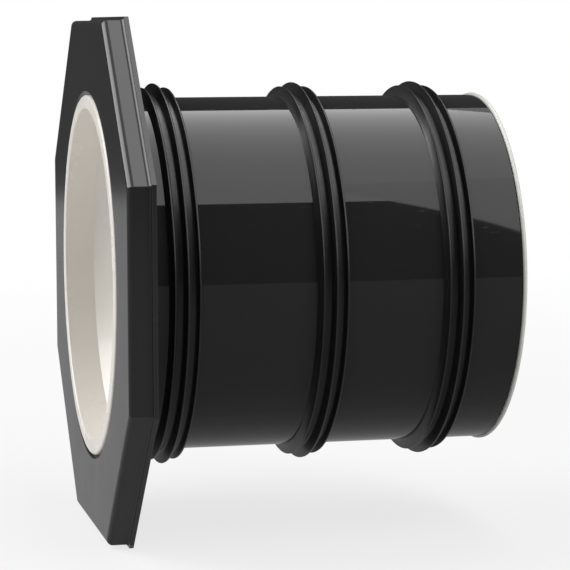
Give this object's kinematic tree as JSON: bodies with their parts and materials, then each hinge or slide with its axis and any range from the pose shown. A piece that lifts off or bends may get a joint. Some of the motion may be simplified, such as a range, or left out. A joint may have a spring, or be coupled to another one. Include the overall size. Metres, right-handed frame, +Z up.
{
  "type": "toilet flange",
  "caption": "Push-in toilet flange: octagonal plate on a barrel with rubber lip seals for a soil pipe, and a pale inner liner that takes the pan outlet.",
  "frame": {"origin": "on the barrel's axis, in the plane of the flange plate's front face, inside the liner's mouth", "axes": "+X along the barrel from the plate to the tail, +Z up, square to the plate's top flat, +Y to the plate's far side flat"},
  "size_m": [0.113, 0.144, 0.144],
  "materials": {
    "plate_plastic": "satin black moulded plastic",
    "barrel_plastic": "glossy black moulded plastic",
    "liner_plastic": "smooth cream moulded plastic",
    "ring_plastic": "pale grey moulded plastic",
    "seal_rubber": "matt black rubber",
    "o_ring_rubber": "black rubber"
  },
  "bodies": {
    "root": {"flange_plate": "plate_plastic", "barrel": "barrel_plastic", "liner": "liner_plastic", "end_ring": "ring_plastic", "seal_ring_front": "seal_rubber", "seal_ring_middle": "seal_rubber", "seal_ring_rear": "seal_rubber", "mouth_o_ring": "o_ring_rubber", "tail_o_ring": "o_ring_rubber"}
  },
  "joints": []
}
